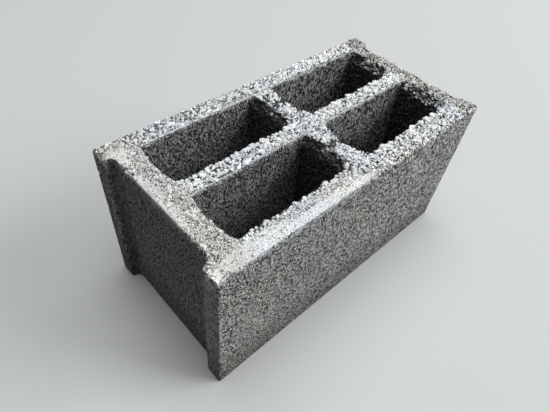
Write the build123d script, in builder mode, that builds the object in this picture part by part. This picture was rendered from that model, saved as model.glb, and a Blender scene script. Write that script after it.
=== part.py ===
# Hollow concrete block with four through cells and a mortar groove in each end.
# Millimetres. +X runs along the block, +Y across it and +Z up from its bed face.
# The origin is at the middle of the bed face.
import os

from build123d import *

# Overall size of the block
block_length = 400.0
block_width = 200.0
block_height = 200.0

# Walls, measured at the top face, where the cells are widest
face_shell = 26.0       # each long outside wall
end_wall = 26.0         # from a cell to the floor of the end groove
cross_web = 28.0        # between the cells of one row, at its thinnest
long_web = 23.0         # between the two rows of cells

# Mould cores that form the cells
end_bow = 5.0           # how far the middle of a cell end stands beyond its corners
cell_corner = 6.0       # radius of a cell's four upright corners
core_draft = 1.5        # taper of a core, taken off each side over the block's height

# Mortar grooves in the two ends
groove_depth = 10.0
groove_flange = 22.0    # end face that is left on each side of a groove
groove_corner = 8.0     # hollow radius between the groove's floor and its flanks
groove_lip = 1.5        # radius where a flank turns out onto the end face

# Edges of the mould, and wear
outside_corner = 2.5    # radius of the block's four upright corners
rim_wear = 1.5          # radius that is rubbed onto the outside rim of the top face
mouth_wear = 1.5        # radius that is rubbed onto the mouth of each cell

# The fresh block, as the mould leaves it
mouth_tear = 5.0        # how far a drawn core tears a cell's mouth open at its right end
tear_height = 12.0      # height over which the torn end leans back
crest_dip = 3.0         # how far a cross web's crest breaks down between two bowed ends
crest_radius = 11.0     # radius of that dip
arris_crisp = 2.2       # radius of the near top arris where it kept its shape
arris_slumped = 6.0     # its radius where the mix slumped
slump_start = -60.0     # the near arris is crisp to the left of this place
slump_full = 60.0       # and fully slumped to the right of this one

# Sizes that follow from those above
half_width = block_width / 2
cell_length = (block_length - 2 * (groove_depth + end_wall) - cross_web) / 2
cell_width = (block_width - 2 * face_shell - long_web) / 2
cell_pitch_x = cell_length + cross_web
cell_pitch_y = cell_width + long_web
groove_width = block_width - 2 * groove_flange
tear_level = block_height - tear_height
cut_margin = 2.0        # how far a cutting tool stands clear of the block


def cell_plan(level, tear=0.0):
    """Plan of one cell at a height: straight sides, bowed ends and round corners."""
    inset = core_draft * (1 - level / block_height)
    half_length = cell_length / 2 - inset
    half_span = cell_width / 2 - inset
    straight = half_length - end_bow
    with BuildSketch(Plane.XY.offset(level)) as plan:
        with BuildLine():
            near_side = Line((-straight, -half_span), (straight + tear, -half_span))
            right_end = ThreePointArc(near_side @ 1, (half_length + tear, 0), (straight + tear, half_span))
            far_side = Line(right_end @ 1, (-straight, half_span))
            ThreePointArc(far_side @ 1, (-half_length, 0), near_side @ 0)
        make_face()
        fillet(plan.vertices(), cell_corner)
    return plan.sketch


def arris_profile(place, radius):
    """Section, at a place along the block, of what a rounded near arris lacks."""
    side = -half_width
    middle = (side + radius, block_height - radius)
    with BuildSketch(Plane.YZ.offset(place)) as section:
        with BuildLine():
            arc = CenterArc(middle, radius, 90, 90)
            Polyline(
                arc @ 1,
                (side - cut_margin, block_height - radius),
                (side - cut_margin, block_height + cut_margin),
                (side + radius, block_height + cut_margin),
                arc @ 0,
            )
        make_face()
    return section.sketch


# One mould core: narrower at the bed, so that the fresh block strips off it, and
# leaning back at its right end near the top, where the rim tore as it was drawn
with BuildPart() as core:
    add(cell_plan(0))
    add(cell_plan(tear_level))
    add(cell_plan(block_height, mouth_tear))
    loft(ruled=True)

# What is missing along the near top arris: little at the left, more where it slumped
with BuildPart() as arris:
    add(arris_profile(-block_length / 2 - cut_margin, arris_crisp))
    add(arris_profile(slump_start, arris_crisp))
    add(arris_profile(slump_full, arris_slumped))
    add(arris_profile(block_length / 2 + cut_margin, arris_slumped))
    loft(ruled=True)

# The block is one moulded piece: the mould's plan with a groove let into each end,
# raised to its height, with the outside rim rubbed round and the four cores drawn out
with BuildPart() as hollow_block:
    with BuildSketch() as mould_plan:
        RectangleRounded(block_length, block_width, outside_corner)
        with GridLocations(block_length, 0, 2, 1):
            RectangleRounded(2 * groove_depth, groove_width, groove_corner, mode=Mode.SUBTRACT)
        end_points = mould_plan.vertices().group_by(lambda point: abs(point.X))[-1]
        lip_points = end_points.group_by(lambda point: abs(point.Y))[0]
        fillet(lip_points, groove_lip)
    extrude(amount=block_height)
    top_face = hollow_block.faces().sort_by(Axis.Z)[-1]
    fillet(top_face.outer_wire().edges(), rim_wear)
    add(arris.part, mode=Mode.SUBTRACT)
    with GridLocations(cell_pitch_x, cell_pitch_y, 2, 2):
        add(core.part, mode=Mode.SUBTRACT)
    top_face = hollow_block.faces().sort_by(Axis.Z)[-1]
    for mouth in top_face.inner_wires():
        fillet(mouth.edges(), mouth_wear)
    dip_level = block_height - crest_dip + crest_radius
    with Locations((0, -cell_pitch_y / 2, dip_level), (0, cell_pitch_y / 2, dip_level)):
        Cylinder(crest_radius, cross_web, rotation=(0, 90, 0), mode=Mode.SUBTRACT)

hollow_block.part.label = "hollow_block"

os.makedirs("parts", exist_ok=True)
export_step(hollow_block.part, "parts/hollow_block.step")
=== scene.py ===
# %% [markdown]
# # A hollow concrete block
#
# The real block was pressed from a dry mix of crushed grit, sand and cement in a steel
# mould, and stripped from it at once. That leaves three kinds of surface: flat moulded
# sides that are full of small voids, cell walls that the cores dragged open, and a tamped
# top where every grain of the grit can be told from its neighbours.
#
# The solid model holds the block's true size and shape. This scene loads it as a fixed
# frame and gives it those surfaces as real relief, because a concrete block is all
# texture: a smooth box with a picture on it would not pass for one.

# %% Load the solid model
import math

import bmesh
import bpy
from mathutils import Matrix, Vector


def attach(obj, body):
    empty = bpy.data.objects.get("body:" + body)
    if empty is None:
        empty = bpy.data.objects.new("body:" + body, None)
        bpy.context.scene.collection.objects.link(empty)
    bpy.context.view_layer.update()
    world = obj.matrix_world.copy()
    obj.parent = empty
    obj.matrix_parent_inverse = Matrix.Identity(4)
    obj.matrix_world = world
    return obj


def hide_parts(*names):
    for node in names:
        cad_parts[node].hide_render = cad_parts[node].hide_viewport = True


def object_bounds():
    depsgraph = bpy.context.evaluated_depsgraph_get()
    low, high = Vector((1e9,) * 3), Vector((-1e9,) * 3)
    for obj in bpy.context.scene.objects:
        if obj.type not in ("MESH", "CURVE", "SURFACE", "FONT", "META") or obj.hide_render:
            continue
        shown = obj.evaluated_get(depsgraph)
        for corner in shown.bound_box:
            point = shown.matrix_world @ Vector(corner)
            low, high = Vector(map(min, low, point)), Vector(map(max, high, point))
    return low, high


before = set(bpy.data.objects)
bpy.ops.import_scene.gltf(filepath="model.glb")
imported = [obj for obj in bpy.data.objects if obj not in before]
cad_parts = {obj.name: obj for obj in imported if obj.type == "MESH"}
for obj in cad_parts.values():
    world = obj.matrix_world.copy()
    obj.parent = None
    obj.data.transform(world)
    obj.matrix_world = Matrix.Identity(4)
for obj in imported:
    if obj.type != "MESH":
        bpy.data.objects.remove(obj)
solid_low, solid_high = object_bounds()
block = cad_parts["hollow_block"]
MM = 0.001
HALF_LENGTH, HALF_WIDTH, HEIGHT = (round(side / MM, 1) for side in solid_high)
print("block solid, mm:", [round(side / MM, 1) for side in solid_high - solid_low])

# %% [markdown]
# ## Two helpers
#
# Colours are written as the hex values that a paint or web chart gives. Blender mixes
# light in linear values, so one function turns the first into the second. The other adds
# a node to any tree, sets it up, and links or fills its inputs, which keeps long trees
# short enough to read.

# %% Helpers for colours and nodes


def colour(hex_value):
    """A linear RGBA colour from an sRGB hex value such as "#808080"."""
    channels = [int(hex_value[start:start + 2], 16) / 255 for start in (1, 3, 5)]
    linear = [c / 12.92 if c <= 0.04045 else ((c + 0.055) / 1.055) ** 2.4 for c in channels]
    return (*linear, 1.0)


def put(tree, kind, inputs=None, **settings):
    """Adds a node, sets it up, links or fills its inputs and returns its outputs."""
    node = tree.nodes.new(kind)
    for name, value in settings.items():
        setattr(node, name, value)
    for socket, value in (inputs or {}).items():
        if isinstance(value, bpy.types.NodeSocket):
            tree.links.new(value, node.inputs[socket])
        else:
            node.inputs[socket].default_value = value
    return node.outputs


print("middle grey in linear light:", round(colour("#808080")[0], 3))

# %% [markdown]
# ## Camera
#
# The camera stands where the photographer held it: half a metre above the floor and
# beyond the near left corner of the block, looking down along it. Its place was worked
# out from the block's corners, so that the block fills the picture as it does there.

# %% Camera
CAMERA_PLACE = Vector((-312.1, -250.1, 499.4)) * MM
CAMERA_AIM = Vector((-42.4, -6.9, 100.0)) * MM
CAMERA_ROLL = math.radians(7.18)
CAMERA_LENS = 29.35
CAMERA_SENSOR = 36.0

camera_data = bpy.data.cameras.new("camera")
camera_data.lens = CAMERA_LENS
camera_data.sensor_width = CAMERA_SENSOR
camera = bpy.data.objects.new("camera", camera_data)
look = (CAMERA_AIM - CAMERA_PLACE).to_track_quat("-Z", "Y").to_matrix().to_4x4()
camera.matrix_world = Matrix.Translation(CAMERA_PLACE) @ look @ Matrix.Rotation(CAMERA_ROLL, 4, "Z")
bpy.context.collection.objects.link(camera)
bpy.context.scene.camera = camera
print("camera distance, mm:", round((CAMERA_AIM - CAMERA_PLACE).length / MM))

# %% [markdown]
# ## Floor
#
# A plain pale floor carries the block. It throws less light back than it shows to the
# camera, because a floor this pale would light up the shaded end and the lower edges
# from below, and on the real block those are the darkest places. Far from the block it
# fades into the backdrop, so that a low view shows no horizon.

# %% Floor
FLOOR_SEEN = colour("#9EA0A0")
FLOOR_BOUNCE = colour("#454544")
FLOOR_SIDE = 16.0
FADE_START = 1.5
FADE_END = 6.5
BACKDROP = colour("#EDF2F8")
BACKDROP_STRENGTH = 0.8

floor_mesh = bpy.data.meshes.new("floor")
half = FLOOR_SIDE / 2
corners = [(-half, -half, 0), (half, -half, 0), (half, half, 0), (-half, half, 0)]
floor_mesh.from_pydata(corners, [], [(0, 1, 2, 3)])
floor = bpy.data.objects.new("floor", floor_mesh)
bpy.context.collection.objects.link(floor)
print("floor side, m:", FLOOR_SIDE)

# %% [markdown]
# ## Floor: plain pale paint
#
# Matt paint has no pattern and no shine. Which grey a ray meets depends on who asks: the
# camera sees the pale one, and light that bounces meets the dark one.

# %% Floor material
floor_paint = bpy.data.materials.new("plain pale floor")
floor_paint.use_nodes = True
tree = floor_paint.node_tree
tree.nodes.clear()
seen = put(tree, "ShaderNodeLightPath")["Is Camera Ray"]
tone = put(tree, "ShaderNodeMix", {"Factor": seen, "A": FLOOR_BOUNCE, "B": FLOOR_SEEN},
           data_type="RGBA")["Result"]
matt = put(tree, "ShaderNodeBsdfDiffuse", {"Color": tone})[0]
floor_place = put(tree, "ShaderNodeNewGeometry")["Position"]
away = put(tree, "ShaderNodeVectorMath", {0: floor_place}, operation="LENGTH")["Value"]
faded = put(tree, "ShaderNodeMapRange", {"Value": away, "From Min": FADE_START, "From Max": FADE_END},
            interpolation_type="SMOOTHSTEP")[0]
faded = put(tree, "ShaderNodeMath", {0: faded, 1: seen}, operation="MULTIPLY")[0]
air = put(tree, "ShaderNodeEmission", {"Color": BACKDROP, "Strength": BACKDROP_STRENGTH})[0]
shown = put(tree, "ShaderNodeMixShader", {0: faded, 1: matt, 2: air})[0]
put(tree, "ShaderNodeOutputMaterial", {"Surface": shown})
floor_mesh.materials.append(floor_paint)
print("floor fades out, m:", FADE_START, "to", FADE_END)

# %% [markdown]
# ## Light
#
# The photograph was taken in soft daylight. The open sky overhead makes the top bright
# and reaches the ground all round, and the brighter part of the sky, over the block's
# right end, puts the long side in half light and leaves the left end in shade. Two large
# lamps, one overhead and one in that quarter, give the same shade with no hard shadow.

# %% Lamps
LAMPS = {
    "overhead": {"from": (0.10, 0.08, 1.0), "away": 6.0, "side": 5.2, "power": 550.0},
    "quarter": {"from": (0.62, -0.55, 0.56), "away": 6.0, "side": 3.4, "power": 440.0},
}

for name, lamp_size in LAMPS.items():
    lamp_data = bpy.data.lights.new(name, "AREA")
    lamp_data.shape = "SQUARE"
    lamp_data.size = lamp_size["side"]
    lamp_data.energy = lamp_size["power"]
    lamp = bpy.data.objects.new(name, lamp_data)
    toward_lamp = Vector(lamp_size["from"]).normalized()
    lamp.location = toward_lamp * lamp_size["away"]
    lamp.rotation_euler = toward_lamp.to_track_quat("Z", "Y").to_euler()
    bpy.context.collection.objects.link(lamp)
    print(name, "lamp:", lamp_size["power"], "W,", lamp_size["side"], "m wide")

# %% [markdown]
# ## Sky
#
# The camera and anything that shines see the pale backdrop. What light the sky itself
# throws on the block is faint, so that the two lamps shape it.

# %% Sky
SKY_LIGHT = 0.03

world = bpy.data.worlds.new("studio")
world.use_nodes = True
bpy.context.scene.world = world
sky = world.node_tree
sky.nodes.clear()
ray = put(sky, "ShaderNodeLightPath")
seen = put(sky, "ShaderNodeMath", {0: ray["Is Camera Ray"], 1: ray["Is Glossy Ray"]},
           operation="MAXIMUM")[0]
strength = put(sky, "ShaderNodeMapRange",
               {"Value": seen, "To Min": SKY_LIGHT, "To Max": BACKDROP_STRENGTH})[0]
glow = put(sky, "ShaderNodeBackground", {"Color": BACKDROP, "Strength": strength})[0]
put(sky, "ShaderNodeOutputWorld", {"Surface": glow})
bpy.context.scene.view_settings.view_transform = "Standard"
print("sky light on the block:", SKY_LIGHT, "seen backdrop:", BACKDROP_STRENGTH)

# %% [markdown]
# ## An even skin over the solid
#
# Relief needs small faces of one size everywhere, and the solid model has long thin ones.
# A copy of it is merged into one closed mesh and remeshed on a fine grid. The grid step
# is about half a grain of the grit, so that each void gets a few faces of its own.
# Remeshing was chosen over subdividing because it follows the bowed cell ends and the
# round groove corners with no extra work.

# %% Even skin
SKIN_STEP = 1.38 * MM
SAME_POINT = 1e-6

skin_mesh = block.data.copy()
merger = bmesh.new()
merger.from_mesh(skin_mesh)
bmesh.ops.remove_doubles(merger, verts=merger.verts, dist=SAME_POINT)
merger.to_mesh(skin_mesh)
merger.free()
skin_mesh.materials.clear()
skin = bpy.data.objects.new("skin", skin_mesh)
bpy.context.collection.objects.link(skin)
even = skin.modifiers.new("even faces", "REMESH")
even.mode = "VOXEL"
even.voxel_size = SKIN_STEP


def settle(thing):
    """Turns an object's modifiers into a plain mesh and removes them."""
    graph = bpy.context.evaluated_depsgraph_get()
    result = bpy.data.meshes.new_from_object(thing.evaluated_get(graph), depsgraph=graph)
    thing.modifiers.clear()
    thing.data = result
    return len(result.polygons)


print("even skin faces:", settle(skin))

# %% [markdown]
# ## Marks that belong to this block
#
# The solid already has the torn ends of the cells. On top of those the rims broke in some
# places, the webs between the cells have notches, a corner is chipped, and here and there
# wet paste filled the texture. Each mark is an egg with a place and three reaches in
# millimetres. Chips are carved out to a depth, and paste holds the texture back. In the
# far corner of the left groove stand level ridges, one above the other, and along two
# rims that face the viewer a drawn core wiped the paste into a narrow smooth band.

# %% Chips and paste
CHIPS = {
    "far right cell, torn end": ((167, 42, 191), (7, 28, 12), 1.8),
    "far right cell, right rim": ((171, 50, 199), (7, 11, 9), 5.0),
    "near right cell, torn end": ((167, -42, 191), (7, 28, 12), 1.8),
    "near right cell, pit in the wall": ((173, -40, 199), (7, 7, 8), 6.5),
    "far left cell, torn end": ((-10, 42, 192), (6, 26, 10), 1.6),
    "far left cell, right rim": ((-9, 53, 199), (6, 12, 8), 2.5),
    "near left cell, torn end": ((-10, -38, 192), (6, 16, 10), 1.6),
    "near left cell, right notch": ((-6, -41, 198), (9, 6, 9), 8.0),
    "far right cell, left notch": ((13, 37, 198), (7, 7, 8), 6.0),
    "near right cell, left notch": ((13, -41, 199), (7, 5, 8), 5.5),
    "near right cell, left rim": ((15, -40, 199), (5, 22, 6), 2.0),
    "near web saddle": ((3, -42, 201), (10, 5, 6), 2.5),
    "left wall crack": ((-185, 47, 201), (4, 6, 6), 4.0),
    "left wall crack, groove side": ((-190, 50, 198), (4, 7, 9), 3.0),
    "pit in the far shell": ((-37, 82, 201), (5, 5, 5), 4.5),
    "near left corner": ((-200, -91, 202), (10, 13, 11), 4.5),
    "near left corner, below": ((-203, -90, 189), (7, 12, 11), 3.5),
    "left edge chip": ((-200, 101, 116), (6, 6, 8), 3.0),
    "left edge chip, upper": ((-200, 101, 168), (5, 5, 7), 2.5),
    "right groove rim": ((191, 20, 202), (7, 16, 8), 3.0),
    "right groove rim, far": ((191, 62, 202), (7, 12, 7), 3.0),
    "right groove rim, near": ((191, -34, 202), (7, 14, 7), 3.0),
}
PASTE = {
    "left wall": ((-189, 2, 200), (11, 54, 12)),
    "left wall, far end": ((-186, 74, 200), (15, 18, 12)),
    "near shell, left": ((-152, -91, 200), (48, 13, 12)),
    "near shell, middle": ((-60, -96, 200), (80, 8, 12)),
    "far groove corner": ((-193, 76, 130), (10, 13, 95)),
    "near flange": ((-200, -89, 100), (6, 16, 125)),
}
PASTE_STRENGTH = 0.95
RIDGED_CORNER = ((-192, 74, 120), (9, 11, 110), 1.0)
RIDGE_PITCH = 5.0
WIPED_RIMS = [(-10.5, 2.6), (75.5, 1.6)]
WIPED_STRENGTH = 0.65
print("chips:", len(CHIPS), "paste patches:", len(PASTE))

# %% [markdown]
# ## Relief: a tree with named sizes
#
# One node tree carves every surface, always inward, so that the block keeps its size. It
# reads each point's place in millimetres, so the carving runs round corners with no
# seam. The directions are blurred first: they then turn gently round an edge, and deep
# carving there can't fold over itself.

# %% Relief tree: sizes, places and directions
RELIEF_SIZES = {
    "Grain": 2.8,
    "Void depth": 1.3,
    "Drag depth": 1.2,
    "Crust depth": 0.5,
    "Coarse crust depth": 1.8,
    "Crust swell": 0.5,
    "Arris radius": 1.6,
    "Slumped arris": 6.0,
    "Rim rounding": 1.0,
    "Ridge height": 0.6,
}
GENTLE_BLUR = 8

relief = bpy.data.node_groups.new("concrete relief", "GeometryNodeTree")
relief.interface.new_socket("Geometry", in_out="OUTPUT", socket_type="NodeSocketGeometry")
relief.interface.new_socket("Geometry", in_out="INPUT", socket_type="NodeSocketGeometry")
for name, millimetres in RELIEF_SIZES.items():
    socket = relief.interface.new_socket(name, in_out="INPUT", socket_type="NodeSocketFloat")
    socket.default_value = millimetres
given = put(relief, "NodeGroupInput")
metres = put(relief, "GeometryNodeInputPosition")[0]
place = put(relief, "ShaderNodeVectorMath", {0: metres, "Scale": 1 / MM}, operation="SCALE")[0]
axes = put(relief, "ShaderNodeSeparateXYZ", {0: place})
unsigned = put(relief, "ShaderNodeVectorMath", {0: place}, operation="ABSOLUTE")[0]
from_middle = put(relief, "ShaderNodeSeparateXYZ", {0: unsigned})

normal = put(relief, "GeometryNodeInputNormal")[0]
facing = put(relief, "ShaderNodeSeparateXYZ", {0: normal})
outward = put(relief, "GeometryNodeBlurAttribute", {"Value": normal, "Iterations": GENTLE_BLUR},
              data_type="FLOAT_VECTOR")[0]
outward = put(relief, "ShaderNodeVectorMath", {0: outward}, operation="NORMALIZE")[0]
leaning = put(relief, "ShaderNodeSeparateXYZ", {0: outward})
print("relief inputs, mm:", RELIEF_SIZES)

# %% [markdown]
# ## Relief: which surface is this?
#
# The tamped face, the moulded sides and the dragged cell walls each get their own
# texture, so the tree first works out where a point is. What leans well upward belongs
# to the tamped face. The torn ends of the cells lean less, and stay with the walls. A
# cell's curved ends were dragged most, because the mix is loosest there.

# %% Relief tree: surfaces
CELLS_WITHIN_X = 182.0
CELLS_WITHIN_Y = 86.0

top = put(relief, "ShaderNodeMapRange", {"Value": leaning["Z"], "From Min": 0.45, "From Max": 0.75},
          interpolation_type="SMOOTHSTEP")[0]
wall = put(relief, "ShaderNodeMath", {0: 1.0, 1: top}, operation="SUBTRACT")[0]
inside_x = put(relief, "ShaderNodeMath", {0: from_middle["X"], 1: CELLS_WITHIN_X},
               operation="LESS_THAN")[0]
inside_y = put(relief, "ShaderNodeMath", {0: from_middle["Y"], 1: CELLS_WITHIN_Y},
               operation="LESS_THAN")[0]
inside = put(relief, "ShaderNodeMath", {0: inside_x, 1: inside_y}, operation="MULTIPLY")[0]
cell = put(relief, "ShaderNodeMath", {0: inside, 1: wall}, operation="MULTIPLY")[0]
facing_end = put(relief, "ShaderNodeMath", {0: facing["X"]}, operation="ABSOLUTE")[0]
cell_end = put(relief, "ShaderNodeMapRange", {"Value": facing_end, "From Min": 0.3, "From Max": 0.9})[0]
cell_end = put(relief, "ShaderNodeMath", {0: cell_end, 1: cell}, operation="MULTIPLY")[0]
print("relief nodes, with the surfaces:", len(relief.nodes))

# %% [markdown]
# ## Relief: where is the grit coarse?
#
# The mould was filled unevenly. Over the right half and along the long web the grit on
# the tamped face is coarse and open, and elsewhere fine. The rims that face the far side
# are coarse as well: whole grains stand out along them like beads, because the tamper
# leaves a rim loose. So is a strip along the near rim of the near cells.

# %% Relief tree: coarse places
NEAR_RIM = -76.0

to_right = put(relief, "ShaderNodeMapRange", {"Value": axes["X"], "From Min": -60.0, "From Max": 10.0},
               interpolation_type="SMOOTHSTEP")[0]
on_web = put(relief, "ShaderNodeMapRange", {"Value": from_middle["Y"], "From Min": 18.0, "From Max": 8.0})[0]
past_wall = put(relief, "ShaderNodeMapRange", {"Value": axes["X"], "From Min": -172.0, "From Max": -150.0})[0]
on_web = put(relief, "ShaderNodeMath", {0: on_web, 1: past_wall}, operation="MULTIPLY")[0]
on_far_shell = put(relief, "ShaderNodeMapRange", {"Value": axes["Y"], "From Min": 70.0, "From Max": 82.0,
                                                  "To Max": 0.8})[0]
on_left_wall = put(relief, "ShaderNodeMapRange", {"Value": axes["X"], "From Min": -160.0, "From Max": -170.0,
                                                  "To Max": 0.4})[0]
beaded = put(relief, "ShaderNodeMapRange", {"Value": leaning["Y"], "From Min": 0.1, "From Max": 0.3})[0]
beaded = put(relief, "ShaderNodeMath", {0: beaded, 1: inside}, operation="MULTIPLY")[0]
off_rim = put(relief, "ShaderNodeMath", {0: axes["Y"], 1: NEAR_RIM}, operation="SUBTRACT")[0]
off_rim = put(relief, "ShaderNodeMath", {0: off_rim}, operation="ABSOLUTE")[0]
by_rim = put(relief, "ShaderNodeMapRange", {"Value": off_rim, "From Min": 6.0, "From Max": 3.0})[0]
by_rim = put(relief, "ShaderNodeMath", {0: by_rim, 1: past_wall}, operation="MULTIPLY")[0]
coarse = to_right
for coarse_place in (on_web, on_far_shell, on_left_wall, beaded, by_rim):
    coarse = put(relief, "ShaderNodeMath", {0: coarse, 1: coarse_place}, operation="MAXIMUM")[0]
print("relief nodes, with the coarse places:", len(relief.nodes))

# %% [markdown]
# ## Relief: chips and paste
#
# A point's distance from the middle of an egg, as a share of the egg's reach, says how
# strongly the mark acts there. A rough noise shifts the places first, so that no mark
# keeps a smooth outline. Where marks overlap, the stronger one counts.

# %% Relief tree: marks
ROUGH_PER_MM = 0.22
OUTLINE_SHIFT = 13.0

rough = put(relief, "ShaderNodeTexNoise",
            {"Vector": place, "Scale": ROUGH_PER_MM, "Detail": 3.0, "Roughness": 0.65})
warp = put(relief, "ShaderNodeVectorMath", {0: rough["Color"], 1: (0.5, 0.5, 0.5)},
           operation="SUBTRACT")[0]
warped = put(relief, "ShaderNodeVectorMath", {0: warp, 1: (OUTLINE_SHIFT,) * 3, 2: place},
             operation="MULTIPLY_ADD")[0]


def strongest_mark(marks, edge, core):
    """The strongest of some egg-shaped marks: each is (place, reaches, strength)."""
    strongest = 0.0
    for centre, reaches, strength in marks:
        spread = put(relief, "ShaderNodeVectorMath", {0: warped, 1: centre}, operation="SUBTRACT")[0]
        spread = put(relief, "ShaderNodeVectorMath", {0: spread, 1: reaches}, operation="DIVIDE")[0]
        away = put(relief, "ShaderNodeVectorMath", {0: spread}, operation="LENGTH")["Value"]
        mark = put(relief, "ShaderNodeMapRange",
                   {"Value": away, "From Min": edge, "From Max": core, "To Max": strength},
                   interpolation_type="SMOOTHSTEP")[0]
        strongest = put(relief, "ShaderNodeMath", {0: mark, 1: strongest}, operation="MAXIMUM")[0]
    return strongest


chips = strongest_mark(CHIPS.values(), edge=1.1, core=0.3)
paste_marks = [(centre, reaches, PASTE_STRENGTH) for centre, reaches in PASTE.values()]
paste = strongest_mark(paste_marks, edge=1.1, core=0.65)
print("relief nodes, with the marks:", len(relief.nodes))

# %% [markdown]
# ## Relief: wiped rims
#
# A wiped band is a strip of paste along the block, near the top. The same noise makes
# its outline wander, and it ends short of the left wall, where the whole top is pasted.

# %% Relief tree: wiped rims
BAND_WANDER = 4.0
BAND_EDGE = 2.6
BAND_CORE = 1.4

near_top = put(relief, "ShaderNodeMapRange",
               {"Value": axes["Z"], "From Min": HEIGHT - 5.0, "From Max": HEIGHT - 2.0})[0]
for middle, reach in WIPED_RIMS:
    off_band = put(relief, "ShaderNodeMath", {0: axes["Y"], 1: middle}, operation="SUBTRACT")[0]
    off_band = put(relief, "ShaderNodeMath", {0: off_band}, operation="ABSOLUTE")[0]
    off_band = put(relief, "ShaderNodeMath", {0: rough["Fac"], 1: BAND_WANDER, 2: off_band},
                   operation="MULTIPLY_ADD")[0]
    band = put(relief, "ShaderNodeMapRange",
               {"Value": off_band, "From Min": reach + BAND_EDGE, "From Max": reach + BAND_CORE,
                "To Max": WIPED_STRENGTH})[0]
    for limit in (past_wall, near_top):
        band = put(relief, "ShaderNodeMath", {0: band, 1: limit}, operation="MULTIPLY")[0]
    paste = put(relief, "ShaderNodeMath", {0: paste, 1: band}, operation="MAXIMUM")[0]
bare = put(relief, "ShaderNodeMath", {0: 1.0, 1: paste}, operation="SUBTRACT")[0]
print("wiped bands:", len(WIPED_RIMS))

# %% [markdown]
# ## Relief: grains and gaps
#
# Grit packs loosely, and a Voronoi texture is such a packing: the distance from the
# nearest point tells whether a place lies on a grain or in the gap between grains. Steel
# held the sides flat, so only their widest gaps stay open, as voids. The cores dragged
# the cell walls, so there the grains stand proud as well, most of all at the cell ends.

# %% Relief tree: gaps
VOID_START = 0.76
VOID_FULL = VOID_START + 0.14
LOOSENESS = 0.12
CELL_DRAG = 0.4
END_DRAG = 1.6

grain_scale = put(relief, "ShaderNodeMath", {0: 1.0, 1: given["Grain"]}, operation="DIVIDE")[0]
grain = put(relief, "ShaderNodeTexVoronoi", {"Vector": place, "Scale": grain_scale},
            voronoi_dimensions="3D")
loose = put(relief, "ShaderNodeMapRange", {"Value": rough["Fac"], "From Min": 0.3, "From Max": 0.7,
                                           "To Min": -LOOSENESS, "To Max": LOOSENESS})[0]
gap = put(relief, "ShaderNodeMath", {0: grain["Distance"], 1: loose}, operation="ADD")[0]
void = put(relief, "ShaderNodeMapRange", {"Value": gap, "From Min": VOID_START, "From Max": VOID_FULL},
           interpolation_type="SMOOTHSTEP")[0]
void = put(relief, "ShaderNodeMath", {0: void, 1: bare}, operation="MULTIPLY")[0]
drag = put(relief, "ShaderNodeMapRange", {"Value": gap, "From Min": 0.2, "From Max": 0.8},
           interpolation_type="SMOOTHSTEP")[0]
dragged = put(relief, "ShaderNodeMath", {0: cell_end, 1: END_DRAG, 2: CELL_DRAG},
              operation="MULTIPLY_ADD")[0]
for more in (dragged, cell):
    drag = put(relief, "ShaderNodeMath", {0: drag, 1: more}, operation="MULTIPLY")[0]
print("relief nodes, with the gaps:", len(relief.nodes))

# %% [markdown]
# ## Relief: round the arrises
#
# The outside rims of the top are worn round, and along the right part of the near side
# the fresh mix slumped, so that the arris is as round as a finger. The solid has both
# radii. Here the radius also swells and shrinks with a slow noise. A point nearer to
# both faces than the radius is pushed back onto the rounding: how far it lies outside it
# is worked out as for a corner of a square.

# %% Relief tree: arris rounding
SWELL_PER_MM = 0.045
ARRIS_SWELL = 1.4
SLUMP_START = -60.0
SLUMP_FULL = 60.0

swell = put(relief, "ShaderNodeTexNoise", {"Vector": place, "Scale": SWELL_PER_MM, "Detail": 3.0})["Fac"]
swell = put(relief, "ShaderNodeMapRange", {"Value": swell, "From Min": 0.3, "From Max": 0.7})[0]
under_top = put(relief, "ShaderNodeMath", {0: HEIGHT, 1: axes["Z"]}, operation="SUBTRACT")[0]
from_side = put(relief, "ShaderNodeMath", {0: HALF_WIDTH, 1: from_middle["Y"]}, operation="SUBTRACT")[0]
from_end = put(relief, "ShaderNodeMath", {0: HALF_LENGTH, 1: from_middle["X"]}, operation="SUBTRACT")[0]
from_edge = put(relief, "ShaderNodeMath", {0: from_side, 1: from_end}, operation="MINIMUM")[0]
to_near = put(relief, "ShaderNodeMath", {0: axes["Y"], 1: 0.0}, operation="LESS_THAN")[0]
slumped = put(relief, "ShaderNodeMapRange",
              {"Value": axes["X"], "From Min": SLUMP_START, "From Max": SLUMP_FULL},
              interpolation_type="SMOOTHSTEP")[0]
slumped = put(relief, "ShaderNodeMath", {0: slumped, 1: to_near}, operation="MULTIPLY")[0]
radius = put(relief, "ShaderNodeMix",
             {"Factor": slumped, "A": given["Arris radius"], "B": given["Slumped arris"]})["Result"]
radius = put(relief, "ShaderNodeMath", {0: swell, 1: ARRIS_SWELL, 2: radius},
             operation="MULTIPLY_ADD")[0]
beyond = []
for distance in (under_top, from_edge):
    over = put(relief, "ShaderNodeMath", {0: radius, 1: distance}, operation="SUBTRACT")[0]
    over = put(relief, "ShaderNodeMath", {0: over, 1: 0.0}, operation="MAXIMUM")[0]
    beyond.append(put(relief, "ShaderNodeMath", {0: over, 1: 2.0}, operation="POWER")[0])
corner = put(relief, "ShaderNodeMath", {0: beyond[0], 1: beyond[1]}, operation="ADD")[0]
corner = put(relief, "ShaderNodeMath", {0: corner}, operation="SQRT")[0]
rounding = put(relief, "ShaderNodeMath", {0: corner, 1: radius}, operation="SUBTRACT")[0]
rounding = put(relief, "ShaderNodeMath", {0: rounding, 1: 0.0}, operation="MAXIMUM")[0]
print("arris slumps, mm:", SLUMP_START, "to", SLUMP_FULL)

# %% [markdown]
# ## Relief: crisp arris and wiped cell rims
#
# Where the outside arris kept its shape it is closed and smooth, and no grain lies on
# it. The cell rims that face the near side were wiped round as the cores came out, and
# there the lean of the surface says how much is taken off.

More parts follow.
